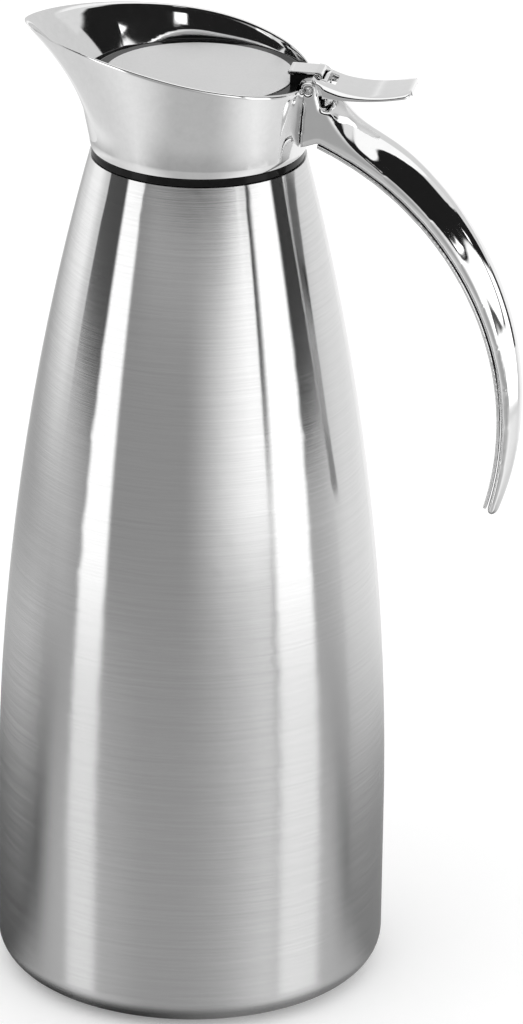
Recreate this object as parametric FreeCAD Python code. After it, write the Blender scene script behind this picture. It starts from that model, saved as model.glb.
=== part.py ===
import FreeCAD, Part
import math
import os

from FreeCAD import Vector

# An insulated pouring jug: a double-walled steel flask with a bell-shaped body, a flared spout collar,
# a lid that a thumb lever lifts, and a handle that is open at its lower end.
# Millimetres. Z is the body's axis and points up, the table is at zero, the handle lies along +X and
# the spout along -X. The jug is symmetric about the XZ plane.

# Body: upright to straight_top, then leaning in on one long arc up to the shoulder's edge
body_radius = 62.5
straight_top = 55.0
shoulder_radius = 34.0
shoulder_height = 275.5
base_corner_radius = 9.5
shell_wall = 0.8
neck_radius = 30.2
neck_height = 13.0

# Flask inside the body, with the evacuated space between the two walls
vacuum_gap = 9.0
flask_wall = 0.7
flask_corner_radius = 14.0
neck_gap = 0.3
getter_radius = 7.0
getter_thickness = 1.2
getter_offset = 22.0

# Underside: closing cap, its sealing bead, the cover and the foot ring that it stands on
foot_stand = 1.0
base_flange = 5.5
cap_wall = 0.8
cap_edge_gap = 0.5
cap_ledge = 3.5
cap_slope = 3.0
cap_rise = 2.4
cap_to_flask = 7.0
bead_radius = 2.0
bead_head_radius = 3.6
bead_head_height = 0.8
cover_thickness = 1.2
foot_ring_inset = 2.5
foot_ring_width = 5.0
foot_groove_depth = 0.6
foot_ring_edge = 0.4

# Neck: black ring on the shoulder, seal on the flask's rim, and the insert that carries the collar
neck_ring_height = 2.8
neck_ring_recess = 0.5
neck_ring_edge = 0.5
flask_seal_width = 1.4
flask_seal_height = 1.0
insert_height = 16.7
mouth_radius = 25.0
mouth_chamfer = 2.0

# Collar: round at its foot, flaring with the square of the height, most of all towards the spout
collar_wall = 1.0
collar_height = 37.2
back_flare = 4.3
spout_flare = 21.5
spout_pinch_share = 0.4
spout_blunt_share = 0.12
spout_curve_parts = (0.35, 0.65, 0.87)
collar_loft_parts = (0.2, 0.4, 0.6, 0.8, 1.0, 1.15)
rim_tip_reach = 54.5
rim_middle_height = 31.4
rim_back_height = 23.0

# Hinge: the pin lies over the collar's back edge, and a fork on the handle holds it
hinge_height = 22.7
pin_radius = 1.3
pin_recess = 0.4
fork_half_width = 8.5
fork_slot_half = 6.0
fork_top_radius = 2.65
fork_lean = 1.65
slot_depth = 6.6
collar_notch_depth = 4.2

# Handle: the space between two arcs from its root that draw together towards the free end.
# Its sides rise to a crease, and a crowned back lies between the creases.
handle_radius = 105.0
handle_inner_step = 5.3
outer_root_reach = 6.4
outer_root_drop = 5.5
inner_root_reach = 2.75
inner_root_drop = 18.9
outer_start_angle = 66.0
outer_end_angle = -20.2
inner_start_angle = 65.5
inner_end_angle = -15.8
handle_tip_width = 9.0
narrowing_power = 1.3
handle_hump = 2.6
hump_share = 0.2
hump_dip_ratio = 4.5
root_crease_share = 0.78
crease_share = 0.16
crease_height = 4.9
crease_fall = 1.5
shoulder_reach_share = 0.62
shoulder_rise_share = 0.55
side_lean = 0.6
handle_station_count = 17
handle_tip_round = 2.2
tip_round_shares = (0.0, 0.5, 0.8, 0.95)
handle_root_drop = 19.5
strip_thickness = 1.2
strip_seam = 0.3
strip_inset = 0.5

# Screws that hold the handle's root to the collar
screw_radius = 1.6
screw_head_radius = 2.6
screw_head_height = 1.6
screw_length = 8.0
screw_heights = (7.0, 12.6)

# Thumb lever, given from the hinge pin: its upper and lower edges are arcs
lever_half_width = 9.25
lever_plate = 1.4
lever_skirt = 1.35
lever_reach = 31.9
lever_heel_height = 4.0
lever_dip = 0.45
lever_tip_height = 1.5
lever_tip_thickness = 1.6
lever_skirt_drop = 1.9
lever_skirt_dip = 2.1
skirt_lowest_share = 0.6
lever_tip_corner = 2.0
ear_radius = 3.2
ear_thickness = 1.2
window_end = 8.0
bar_start = 4.2
bar_width = 1.2

# Lid: black body with its hinge knuckle, steel cover disc, steel strap, and the insulating plug below
lid_gap = 0.5
lid_thickness = 4.0
lid_edge = 0.8
lid_disc_radius = 29.5
lid_disc_thickness = 0.9
lid_disc_recess = 0.6
lid_seal_height = 2.3
lid_seal_inner = 27.6
lid_seal_outer = 30.6
knuckle_radius = 2.9
lug_half_width = 4.3
lug_reach = 6.3
lug_top = 3.5
lug_bottom = 2.8
tail_reach = 5.0
strap_thickness = 1.2
strap_overhang = 0.8
hook_reach = 3.8
hook_thickness = 0.8
hook_drop = 3.2
plug_radius = 24.4
plug_taper = 1.4
plug_depth = 10.3
plug_wall = 1.4
plug_boss_radius = 4.0
plug_screw_radius = 1.5
plug_screw_head_radius = 3.2
plug_screw_head_height = 1.6
plug_screw_bite = 2.5

# Torsion spring that closes the lid, wound round the pin inside the knuckle
spring_radius = 2.15
spring_wire_radius = 0.35
spring_half_length = 2.0
spring_turns = 3
spring_leg = 5.2

# Clearances
press_clearance = 0.05
fit_clearance = 0.3
running_clearance = 0.05
side_clearance = 0.2
screw_clearance = 0.1

UP = Vector(0, 0, 1)
ACROSS = Vector(0, 1, 0)
ORIGIN = Vector(0, 0, 0)

# Heights and places that follow from the sizes above
base_opening_radius = body_radius - base_corner_radius - base_flange
foot_ring_outer = base_opening_radius - foot_ring_inset
foot_ring_inner = foot_ring_outer - foot_ring_width
cap_floor = foot_stand + shell_wall
cap_top = cap_floor + cap_rise + cap_wall
flask_floor = cap_top + cap_to_flask
neck_top = shoulder_height + neck_height
flask_rim = neck_top + flask_wall
collar_foot = shoulder_height + neck_ring_height
insert_top = collar_foot + insert_height
lid_underside = insert_top + lid_seal_height
lid_top = lid_underside + lid_thickness
hinge_z = collar_foot + hinge_height
notch_floor = hinge_z - collar_notch_depth
lean_in = body_radius - shoulder_radius
lean_rise = shoulder_height - straight_top
lean_radius = (lean_in ** 2 + lean_rise ** 2) / (2 * lean_in)
lean_centre = body_radius - lean_radius


def flare(height, growth):
    share = max(0.0, (height - collar_foot) / collar_height)
    return shoulder_radius + growth * share * share


hinge_x = flare(hinge_z, back_flare)


def at(x, z):
    return Vector(x, 0, z)


def from_pin(x, z):
    return Vector(hinge_x + x, 0, hinge_z + z)


def line(start, end):
    return Part.LineSegment(start, end).toShape()


def arc(start, middle, end):
    return Part.Arc(start, middle, end).toShape()


def outline(points):
    return [line(a, b) for a, b in zip(points, points[1:] + points[:1])]


def turned(edges):
    return Part.Face(Part.Wire(Part.__sortEdges__(edges))).revolve(ORIGIN, UP, 360)


def across(edges, low, high):
    face = Part.Face(Part.Wire(Part.__sortEdges__(edges)))
    face.translate(ACROSS * low)
    return face.extrude(ACROSS * (high - low))


def block(x_low, x_high, half_width, z_low, z_high):
    corner = Vector(x_low, -half_width, z_low)
    return Part.makeBox(x_high - x_low, 2 * half_width, z_high - z_low, corner)


def tube(outer, inner, low, high):
    solid = Part.makeCylinder(outer, high - low, at(0, low))
    return solid.cut(Part.makeCylinder(inner, high - low, at(0, low)))


def rod_across(x, z, radius, low, high):
    return Part.makeCylinder(radius, high - low, Vector(x, low, z), ACROSS)


def rod_along(x_low, x_high, z, radius):
    return Part.makeCylinder(radius, x_high - x_low, at(x_low, z), Vector(1, 0, 0))


def polar(centre, radius, degrees):
    angle = math.radians(degrees)
    return centre + Vector(radius * math.cos(angle), 0, radius * math.sin(angle))


def corner_arc(centre_x, centre_z, radius):
    centre = at(centre_x, centre_z)
    return arc(polar(centre, radius, -90), polar(centre, radius, -45), polar(centre, radius, 0))


def wall_at(height, inset):
    return lean_centre + math.sqrt((lean_radius - inset) ** 2 - (height - straight_top) ** 2)


def lean_height(radius, inset):
    return straight_top + math.sqrt((lean_radius - inset) ** 2 - (radius - lean_centre) ** 2)


def lean_arc(inset, top):
    middle = (straight_top + top) / 2
    return arc(at(wall_at(straight_top, inset), straight_top), at(wall_at(middle, inset), middle),
               at(wall_at(top, inset), top))


def outer_shell():
    corner_x = body_radius - base_corner_radius
    corner_z = foot_stand + base_corner_radius
    inner = body_radius - shell_wall
    neck_inner = neck_radius - shell_wall
    ledge = shoulder_height - shell_wall
    return turned([
        line(at(base_opening_radius, foot_stand), at(corner_x, foot_stand)),
        corner_arc(corner_x, corner_z, base_corner_radius),
        line(at(body_radius, corner_z), at(body_radius, straight_top)),
        lean_arc(0, shoulder_height),
        line(at(shoulder_radius, shoulder_height), at(neck_radius, shoulder_height)),
        line(at(neck_radius, shoulder_height), at(neck_radius, neck_top)),
        line(at(neck_radius, neck_top), at(neck_inner, neck_top)),
        line(at(neck_inner, neck_top), at(neck_inner, ledge)),
        line(at(neck_inner, ledge), at(wall_at(ledge, shell_wall), ledge)),
        lean_arc(shell_wall, ledge),
        line(at(inner, straight_top), at(inner, corner_z)),
        corner_arc(corner_x, corner_z, base_corner_radius - shell_wall),
        line(at(corner_x, cap_floor), at(base_opening_radius, cap_floor)),
        line(at(base_opening_radius, cap_floor), at(base_opening_radius, foot_stand)),
    ])


def flask_neck_radius():
    return neck_radius - shell_wall - neck_gap


def inner_flask():
    outside = shell_wall + vacuum_gap
    inside = outside + flask_wall
    outer = body_radius - outside
    inner = body_radius - inside
    corner_x = outer - flask_corner_radius
    corner_z = flask_floor + flask_corner_radius
    neck_outer = flask_neck_radius()
    neck_inner = neck_outer - flask_wall
    throat_outer = lean_height(neck_outer, outside)
    throat_inner = lean_height(neck_inner, inside)
    return turned([
        line(at(0, flask_floor), at(corner_x, flask_floor)),
        corner_arc(corner_x, corner_z, flask_corner_radius),
        line(at(outer, corner_z), at(outer, straight_top)),
        lean_arc(outside, throat_outer),
        line(at(neck_outer, throat_outer), at(neck_outer, neck_top)),
        line(at(neck_outer, neck_top), at(neck_radius, neck_top)),
        line(at(neck_radius, neck_top), at(neck_radius, flask_rim)),
        line(at(neck_radius, flask_rim), at(neck_inner, flask_rim)),
        line(at(neck_inner, flask_rim), at(neck_inner, throat_inner)),
        lean_arc(inside, throat_inner),
        line(at(inner, straight_top), at(inner, corner_z)),
        corner_arc(corner_x, corner_z, flask_corner_radius - flask_wall),
        line(at(corner_x, flask_floor + flask_wall), at(0, flask_floor + flask_wall)),
        line(at(0, flask_floor + flask_wall), at(0, flask_floor)),
    ])


def getter():
    bottom = flask_floor - getter_thickness
    return Part.makeCylinder(getter_radius, getter_thickness, at(getter_offset, bottom))


def base_cap():
    ledge_inner = base_opening_radius - cap_ledge
    raised_radius = ledge_inner - cap_slope
    raised = cap_floor + cap_rise
    rim = base_opening_radius + base_flange - cap_edge_gap
    slant = cap_wall * cap_rise / (cap_slope + math.hypot(cap_slope, cap_rise))
    return turned(outline([
        at(bead_radius, raised), at(raised_radius, raised), at(ledge_inner, cap_floor), at(rim, cap_floor),
        at(rim, cap_floor + cap_wall), at(ledge_inner + slant, cap_floor + cap_wall),
        at(raised_radius + slant, cap_top), at(bead_radius, cap_top),
    ]))


def vacuum_bead():
    raised = cap_floor + cap_rise
    head = Part.makeCylinder(bead_head_radius, bead_head_height, at(0, raised - bead_head_height))
    stem = Part.makeCylinder(bead_radius - press_clearance, cap_wall, at(0, raised))
    return head.fuse(stem).removeSplitter()


def base_cover():
    bottom = cap_floor - cover_thickness
    disc = Part.makeCylinder(base_opening_radius - fit_clearance, cover_thickness, at(0, bottom))
    return disc.cut(tube(foot_ring_outer, foot_ring_inner, bottom, bottom + foot_groove_depth))


def foot_ring():
    top = cap_floor - cover_thickness + foot_groove_depth
    ring = tube(foot_ring_outer - side_clearance, foot_ring_inner + side_clearance, 0, top)
    lower = [edge for edge in ring.Edges if edge.BoundBox.ZMax < foot_ring_edge / 2]
    return ring.makeChamfer(foot_ring_edge, lower)


def neck_ring():
    inner_radius = neck_radius + fit_clearance
    ring = tube(shoulder_radius - neck_ring_recess, inner_radius, shoulder_height, collar_foot)
    outer = [edge for edge in ring.Edges if edge.BoundBox.XMax > inner_radius + fit_clearance
             and edge.BoundBox.ZLength < neck_ring_edge]
    return ring.makeFillet(neck_ring_edge, outer)


def flask_seal():
    middle = flask_neck_radius()
    half = flask_seal_width / 2
    return tube(middle + half, middle - half, flask_rim, flask_rim + flask_seal_height)


def collar_section(height, inset):
    share = max(0.0, (height - collar_foot) / collar_height) ** 2
    back = flare(height, back_flare) - inset
    reach = flare(height, spout_flare) - inset
    blunt = 2 - spout_pinch_share * share
    power = 0.5 + spout_blunt_share * share
    bow = back * math.sqrt(0.5)
    sides = []
    for side in (1, -1):
        points = [Vector(0, side * back, height)]
        for part in spout_curve_parts:
            width = back * (1 - part ** blunt) ** power
            points.append(Vector(-part * reach, side * width, height))
        points.append(Vector(-reach, 0, height))
        curve = Part.BSplineCurve()
        curve.interpolate(Points=points, InitialTangent=Vector(-1, 0, 0),
                          FinalTangent=Vector(0, -side, 0))
        quarter = arc(Vector(back, 0, height), Vector(bow, side * bow, height), points[0])
        sides.append((quarter, curve.toShape()))
    (near_back, near_spout), (far_back, far_spout) = sides
    return Part.Wire([near_back, near_spout, far_spout, far_back])


def collar_form(inset, below=0.0):
    heights = [collar_foot - below] + [collar_foot + collar_height * part for part in collar_loft_parts]
    return Part.makeLoft([collar_section(height, inset) for height in heights], True, False)


def above_rim():
    tip = at(-rim_tip_reach, collar_foot + collar_height)
    middle = at(0, collar_foot + rim_middle_height)
    back = at(flare(collar_foot + rim_back_height, back_flare), collar_foot + rim_back_height)
    beyond = body_radius + rim_tip_reach
    ceiling = collar_foot + 3 * collar_height
    return across([
        line(at(-beyond, tip.z), tip),
        arc(tip, middle, back),
        line(back, at(beyond, notch_floor)),
        line(at(beyond, notch_floor), at(beyond, ceiling)),
        line(at(beyond, ceiling), at(-beyond, ceiling)),
        line(at(-beyond, ceiling), at(-beyond, tip.z)),
    ], -beyond, beyond)


def fork_notch():
    half = fork_half_width + press_clearance
    return block(mouth_radius, body_radius, half, notch_floor, hinge_z + collar_height)


def collar_screw_holes(radius):
    places = [collar_foot + height for height in screw_heights]
    return Part.makeCompound([rod_along(mouth_radius, body_radius, z, radius) for z in places])


def collar_outside(inset=0.0):
    return collar_form(inset).cut(above_rim()).cut(fork_notch())


def collar():
    shell = collar_outside().cut(collar_form(collar_wall, below=collar_wall))
    return shell.cut(collar_screw_holes(screw_radius + screw_clearance))


def pour_insert():
    form = collar_form(collar_wall + side_clearance)
    seat = neck_radius + fit_clearance
    seal_top = flask_rim + flask_seal_height
    solid = form.common(block(-body_radius, body_radius, body_radius, collar_foot, insert_top))
    solid = solid.cut(Part.makeCylinder(seat, seal_top - collar_foot, at(0, collar_foot)))
    solid = solid.cut(Part.makeCylinder(mouth_radius, insert_height, at(0, collar_foot)))
    wide = mouth_radius + mouth_chamfer
    solid = solid.cut(Part.makeCone(mouth_radius, wide, mouth_chamfer, at(0, insert_top - mouth_chamfer)))
    head_room = screw_head_radius + fit_clearance
    lowest = collar_foot + min(screw_heights) - head_room
    highest = collar_foot + max(screw_heights) + head_room
    return solid.cut(block(seat - fit_clearance, body_radius, head_room, lowest, highest))


def handle_station(share):
    inner_radius = handle_radius - handle_inner_step
    outer_centre = polar(from_pin(outer_root_reach, -outer_root_drop), -handle_radius, outer_start_angle)
    inner_centre = polar(from_pin(inner_root_reach, -inner_root_drop), -inner_radius, inner_start_angle)
    along = min(1.0, share / hump_share)
    rise = handle_hump * (1 - along) ** 2 * (1 - hump_dip_ratio * along)
    outer_angle = outer_start_angle + (outer_end_angle - outer_start_angle) * share
    inner_angle = inner_start_angle + (inner_end_angle - inner_start_angle) * share
    outer = polar(outer_centre, handle_radius + rise, outer_angle)
    inner = polar(inner_centre, inner_radius, inner_angle)
    depth = (outer - inner).Length
    half = fork_half_width - (fork_half_width - handle_tip_width / 2) * share ** narrowing_power
    settle = min(1.0, share / crease_share)
    low_crease = crease_height - crease_fall * share
    crease = low_crease + (depth * root_crease_share - low_crease) * (1 - settle) ** 2
    return inner, (outer - inner) / depth, depth, half, half - side_lean * settle, crease


def handle_section(share, rounding=0.0):
    inner, rise, depth, half, foot_half, crease = handle_station(share)
    foot = strip_thickness + strip_seam
    onward = Vector(rise.z, 0, -rise.x) * (handle_tip_round * rounding)
    scale = math.sqrt(1 - rounding ** 2)
    middle = (foot + depth) / 2

    def place(side, height):
        return inner + onward + ACROSS * (side * scale) + rise * (middle + (height - middle) * scale)

    def shoulder(side):
        bulge = place(side * half * shoulder_reach_share, crease + (depth - crease) * shoulder_rise_share)
        curve = Part.BSplineCurve()
        curve.interpolate(Points=[place(side * half, crease), bulge, place(0, depth)],
                          InitialTangent=(bulge - place(side * half, crease)).normalize(),
                          FinalTangent=ACROSS * -side)
        return curve.toShape()

    low_left = place(-foot_half, foot)
    low_right = place(foot_half, foot)
    return Part.Wire([line(low_left, low_right), line(low_right, place(half, crease)), shoulder(1),
                      shoulder(-1), line(place(-half, crease), low_left)])


def strip_section(share):
    inner, rise, depth, half, foot_half, crease = handle_station(share)
    edge = foot_half - strip_inset
    corners = [inner - ACROSS * edge, inner + ACROSS * edge]
    corners += [point + rise * strip_thickness for point in reversed(corners)]
    return Part.Wire(outline(corners))


def pin_hole(half_width):
    return rod_across(hinge_x, hinge_z, pin_radius + running_clearance, -half_width, half_width)


def handle_shares():
    return [step / (handle_station_count - 1) for step in range(handle_station_count)]


def handle():
    grip = Part.makeLoft([handle_section(share) for share in handle_shares()], True, False)
    tip = Part.makeLoft([handle_section(1, step) for step in tip_round_shares], True, True)
    grip = grip.fuse(tip)
    inner, rise, depth, half, foot_half, crease = handle_station(0)
    root_end = inner + rise * (strip_thickness + strip_seam)
    slot_floor = hinge_z - slot_depth
    notch_end = inner + rise * ((slot_floor - inner.z) / rise.z)
    root = across([
        line(from_pin(-fork_top_radius, 0), from_pin(-fork_top_radius, -handle_root_drop)),
        line(from_pin(-fork_top_radius, -handle_root_drop), root_end),
        line(root_end, notch_end),
        line(notch_end, from_pin(fork_top_radius + fork_lean, -slot_depth)),
        line(from_pin(fork_top_radius + fork_lean, -slot_depth), from_pin(fork_top_radius, 0)),
        arc(from_pin(fork_top_radius, 0), from_pin(0, fork_top_radius), from_pin(-fork_top_radius, 0)),
    ], -fork_half_width, fork_half_width)
    solid = root.fuse(grip)
    ceiling = hinge_z + collar_height
    solid = solid.cut(block(mouth_radius, notch_end.x, fork_slot_half, slot_floor, ceiling))
    solid = solid.cut(collar_outside(-press_clearance))
    solid = solid.cut(pin_hole(fork_half_width))
    hole_radius = screw_radius + screw_clearance
    for height in screw_heights:
        solid = solid.cut(rod_along(mouth_radius, hinge_x + screw_length, collar_foot + height, hole_radius))
    return solid


def handle_strip():
    return Part.makeLoft([strip_section(share) for share in handle_shares()], True, False)


def handle_screws():
    screws = []
    for height in screw_heights:
        z = collar_foot + height
        wall = flare(z, back_flare) - collar_wall
        seat = math.sqrt(wall ** 2 - screw_head_radius ** 2) - screw_clearance
        head = rod_along(seat - screw_head_height, seat, z, screw_head_radius)
        shank = rod_along(seat, hinge_x + screw_length - side_clearance, z, screw_radius)
        screws.append(head.fuse(shank).removeSplitter())
    return Part.makeCompound(screws)


def hinge_pin():
    half = fork_half_width - pin_recess
    return rod_across(hinge_x, hinge_z, pin_radius, -half, half)


def lever_top_arc(lowered=0.0):
    heel = from_pin(fork_top_radius / 2, lever_heel_height - lowered)
    middle = from_pin(lever_reach / 2, -lever_dip - lowered)
    return arc(heel, middle, from_pin(lever_reach, lever_tip_height - lowered))


def lever_outline():
    heel = from_pin(fork_top_radius / 2, lever_heel_height)
    tip = from_pin(lever_reach, lever_tip_height)
    tip_foot = from_pin(lever_reach, lever_tip_height - lever_tip_thickness)
    skirt_middle = from_pin(lever_reach * skirt_lowest_share, -lever_skirt_dip)
    skirt_heel = from_pin(bar_start + bar_width / 2, -lever_skirt_drop)
    throat = from_pin(bar_start - bar_width / 4, bar_width)
    heel_foot = from_pin(fork_top_radius / 2, fork_top_radius + 2 * side_clearance)
    return [lever_top_arc(), line(tip, tip_foot), arc(tip_foot, skirt_middle, skirt_heel),
            line(skirt_heel, throat), line(throat, heel_foot), line(heel_foot, heel)]


def lever_hollow():
    roof = lever_top_arc(lever_plate)
    start = roof.Vertexes[0].Point
    end = roof.Vertexes[1].Point
    end_foot = at(end.x, hinge_z - slot_depth)
    start_foot = at(start.x, hinge_z - slot_depth)
    walls = [line(end, end_foot), line(end_foot, start_foot), line(start_foot, start)]
    half = lever_half_width - lever_skirt
    return across([roof] + walls, -half, half)


def lever_ear(low, high):
    disc = rod_across(hinge_x, hinge_z, ear_radius, low, high)
    web = across(outline([
        from_pin(0, ear_radius), from_pin(fork_top_radius / 2, lever_heel_height - lever_plate / 2),
        from_pin(bar_start + bar_width, lever_heel_height - lever_plate),
        from_pin(bar_start + bar_width, -lever_skirt_drop), from_pin(0, -ear_radius),
    ]), low, high)
    return disc.fuse(web)


def thumb_lever():
    plate = across(lever_outline(), -lever_half_width, lever_half_width)
    tip = hinge_x + lever_reach - press_clearance
    tip_edges = [edge for edge in plate.Edges if edge.BoundBox.XMin > tip
                 and edge.BoundBox.YLength < press_clearance]
    plate = plate.makeFillet(lever_tip_corner, tip_edges)
    plate = plate.cut(lever_hollow())
    ear_inner = lug_half_width + fit_clearance
    window_half = lug_half_width + side_clearance
    window = block(hinge_x - lever_reach, hinge_x + window_end, window_half, hinge_z - slot_depth,
                   hinge_z + lever_reach)
    lever = plate.cut(window)
    for low in (ear_inner, -ear_inner - ear_thickness):
        lever = lever.fuse(lever_ear(low, low + ear_thickness))
    bar_top = lever_heel_height - lever_plate
    bar = block(hinge_x + bar_start, hinge_x + bar_start + bar_width, ear_inner + ear_thickness / 2, hinge_z,
                hinge_z + bar_top)
    lever = lever.fuse(bar)
    return lever.cut(pin_hole(lever_half_width)).removeSplitter()


def lid_body():
    radius = flare(lid_underside, back_flare) - collar_wall - lid_gap
    disc = Part.makeCylinder(radius, lid_thickness, at(0, lid_underside))
    rims = [edge for edge in disc.Edges if edge.BoundBox.ZLength < press_clearance]
    disc = disc.makeFillet(lid_edge, rims)
    fork_front = hinge_x - max(fork_top_radius, ear_radius) - lid_gap
    disc = disc.cut(block(fork_front, body_radius, fork_half_width + lid_gap, lid_underside, lid_top))
    recess_radius = lid_disc_radius + press_clearance
    disc = disc.cut(Part.makeCylinder(recess_radius, lid_disc_recess, at(0, lid_top - lid_disc_recess)))
    lug_start = hinge_x - lug_reach
    lug = block(lug_start, hinge_x, lug_half_width, hinge_z - lug_bottom, hinge_z + lug_top)
    knuckle = rod_across(hinge_x, hinge_z, knuckle_radius, -lug_half_width, lug_half_width)
    tail = block(hinge_x, hinge_x + tail_reach, lug_half_width, hinge_z - knuckle_radius + fit_clearance,
                 hinge_z - fit_clearance)
    body = disc.fuse([lug, knuckle, tail]).cut(pin_hole(lug_half_width))
    coil_half = spring_half_length + 3 * spring_wire_radius
    coil_radius = spring_radius + spring_wire_radius + fit_clearance
    body = body.cut(rod_across(hinge_x, hinge_z, coil_radius, -coil_half, coil_half))
    coil_end = hinge_x + coil_radius
    body = body.cut(block(hinge_x, coil_end, coil_half, hinge_z - knuckle_radius, hinge_z))
    leg_floor = hinge_z + spring_radius - spring_wire_radius - press_clearance
    body = body.cut(block(lug_start, hinge_x, coil_half, leg_floor, hinge_z + lug_top))
    bite_depth = plug_screw_bite + side_clearance
    return body.cut(Part.makeCylinder(plug_screw_radius + press_clearance, bite_depth, at(0, lid_underside)))


def lid_disc():
    floor = lid_top - lid_disc_recess
    disc = Part.makeCylinder(lid_disc_radius, lid_disc_thickness, at(0, floor))
    lug_room = lug_half_width + side_clearance
    gap = block(hinge_x - lug_reach - side_clearance, body_radius, lug_room, floor, hinge_z + lug_top)
    return disc.cut(gap)


def lid_strap():
    left = -lug_reach - strap_overhang
    top = lug_top + strap_thickness
    bend = from_pin(hook_reach - strap_thickness, lug_top)
    bend_top = polar(bend, strap_thickness, 90)
    bend_side = polar(bend, strap_thickness, 0)
    hook_outer = from_pin(hook_reach, top - hook_drop)
    hook_inner = from_pin(hook_reach - hook_thickness, top - hook_drop)
    hook_root = from_pin(hook_reach - hook_thickness, lug_top)
    return across([
        line(bend, from_pin(left, lug_top)),
        line(from_pin(left, lug_top), from_pin(left, top)),
        line(from_pin(left, top), bend_top),
        arc(bend_top, polar(bend, strap_thickness, 45), bend_side),
        line(bend_side, hook_outer),
        line(hook_outer, hook_inner),
        line(hook_inner, hook_root),
        line(hook_root, bend),
    ], -lug_half_width, lug_half_width)


def lid_seal():
    return tube(lid_seal_outer, lid_seal_inner, insert_top, lid_underside)


def lid_plug():
    bottom = lid_underside - plug_depth
    narrow = plug_radius - plug_taper
    shell = turned(outline([
        at(0, bottom), at(narrow, bottom), at(plug_radius, lid_underside),
        at(plug_radius - plug_wall, lid_underside), at(narrow - plug_wall, bottom + plug_wall),
        at(0, bottom + plug_wall),
    ]))
    boss = Part.makeCylinder(plug_boss_radius, plug_depth, at(0, bottom))
    hole = Part.makeCylinder(plug_screw_radius + screw_clearance, plug_depth, at(0, bottom))
    return shell.fuse(boss).cut(hole)


def plug_foam():
    bottom = lid_underside - plug_depth + plug_wall
    narrow = plug_radius - plug_taper - plug_wall - fit_clearance
    wide = plug_radius - plug_wall - fit_clearance
    foam = Part.makeCone(narrow, wide, lid_underside - bottom, at(0, bottom))
    return foam.cut(Part.makeCylinder(plug_boss_radius + fit_clearance, plug_depth, at(0, bottom)))


def plug_screw():
    bottom = lid_underside - plug_depth
    head_bottom = bottom - plug_screw_head_height
    head = Part.makeCylinder(plug_screw_head_radius, plug_screw_head_height, at(0, head_bottom))
    shank = Part.makeCylinder(plug_screw_radius, plug_depth + plug_screw_bite, at(0, bottom))
    return head.fuse(shank).removeSplitter()


def biarc(start, start_direction, end, end_direction):
    chord = end - start
    both = start_direction + end_direction
    square = 2 * (1 - start_direction.dot(end_direction))
    cross_term = 2 * chord.dot(both)
    reach = (math.sqrt(cross_term ** 2 + 4 * square * chord.dot(chord)) - cross_term) / (2 * square)
    knees = (start + start_direction * reach, end - end_direction * reach)
    joint = (knees[0] + knees[1]) / 2
    edges = []
    for first, knee, last in ((start, knees[0], joint), (joint, knees[1], end)):
        middle = (first + last) / 2
        half = (last - first).Length / 2
        lift = (knee - middle).Length
        bulge = half * math.tan(math.atan2(lift, half) / 2)
        edges.append(arc(first, middle + (knee - middle) * (bulge / lift), last))
    return edges


def spring_path():
    quarters = 4 * spring_turns + 1
    turn = quarters * math.pi / 2
    climb = 2 * spring_half_length / turn

    def point(angle):
        offset = Vector(spring_radius * math.cos(angle), 0, spring_radius * math.sin(angle))
        return from_pin(0, 0) + offset + ACROSS * (climb * angle - spring_half_length)

    def direction(angle):
        way = Vector(-spring_radius * math.sin(angle), climb, spring_radius * math.cos(angle))
        return way / way.Length

    leg_start = point(0) - direction(0) * spring_leg
    edges = [line(leg_start, point(0))]
    for quarter in range(quarters):
        low = quarter * math.pi / 2
        high = low + math.pi / 2
        edges += biarc(point(low), direction(low), point(high), direction(high))
    edges.append(line(point(turn), point(turn) + direction(turn) * spring_leg))
    return leg_start, direction(0), Part.Wire(edges)


def spring_self_gap(path):
    points = path.discretize(Distance=spring_wire_radius)
    apart = int(math.pi * spring_radius / spring_wire_radius)
    near = min((a - b).Length for i, a in enumerate(points) for b in points[i + apart:])
    return near - 2 * spring_wire_radius


def return_spring():
    start, direction, path = spring_path()
    print("return spring, least gap to itself: %.2f mm" % spring_self_gap(path))
    ring = Part.Wire(Part.makeCircle(spring_wire_radius, start, direction))
    return path.makePipeShell([ring], True, False)


pieces = (
    outer_shell, inner_flask, getter, base_cap, vacuum_bead, base_cover, foot_ring, neck_ring, flask_seal,
    pour_insert, collar, handle, handle_strip, handle_screws, hinge_pin, return_spring, thumb_lever,
    lid_body, lid_disc, lid_strap, lid_seal, lid_plug, plug_foam, plug_screw,
)

os.makedirs("parts", exist_ok=True)
for piece in pieces:
    shape = piece()
    shape.exportStep("parts/%s.step" % piece.__name__)
    print("%-14s solids %d  valid %s  volume %.0f mm3" % (
        piece.__name__, len(shape.Solids), shape.isValid(), shape.Volume))
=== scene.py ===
import bpy
import math
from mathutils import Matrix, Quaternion, Vector


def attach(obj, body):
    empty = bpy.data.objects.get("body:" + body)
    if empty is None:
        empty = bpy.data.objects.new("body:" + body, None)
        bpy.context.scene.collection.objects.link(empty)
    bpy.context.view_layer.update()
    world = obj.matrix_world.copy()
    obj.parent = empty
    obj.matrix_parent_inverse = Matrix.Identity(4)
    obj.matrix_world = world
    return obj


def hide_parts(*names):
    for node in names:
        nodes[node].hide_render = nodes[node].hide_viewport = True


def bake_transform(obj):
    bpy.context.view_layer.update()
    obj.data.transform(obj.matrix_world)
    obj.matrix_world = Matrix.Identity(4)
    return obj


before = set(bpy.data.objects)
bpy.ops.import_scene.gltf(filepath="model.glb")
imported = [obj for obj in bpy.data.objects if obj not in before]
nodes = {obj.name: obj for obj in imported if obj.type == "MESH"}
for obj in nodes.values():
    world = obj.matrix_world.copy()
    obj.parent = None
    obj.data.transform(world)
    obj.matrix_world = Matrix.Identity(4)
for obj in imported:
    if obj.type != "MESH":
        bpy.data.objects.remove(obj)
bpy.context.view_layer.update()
scene = bpy.context.scene
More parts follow.
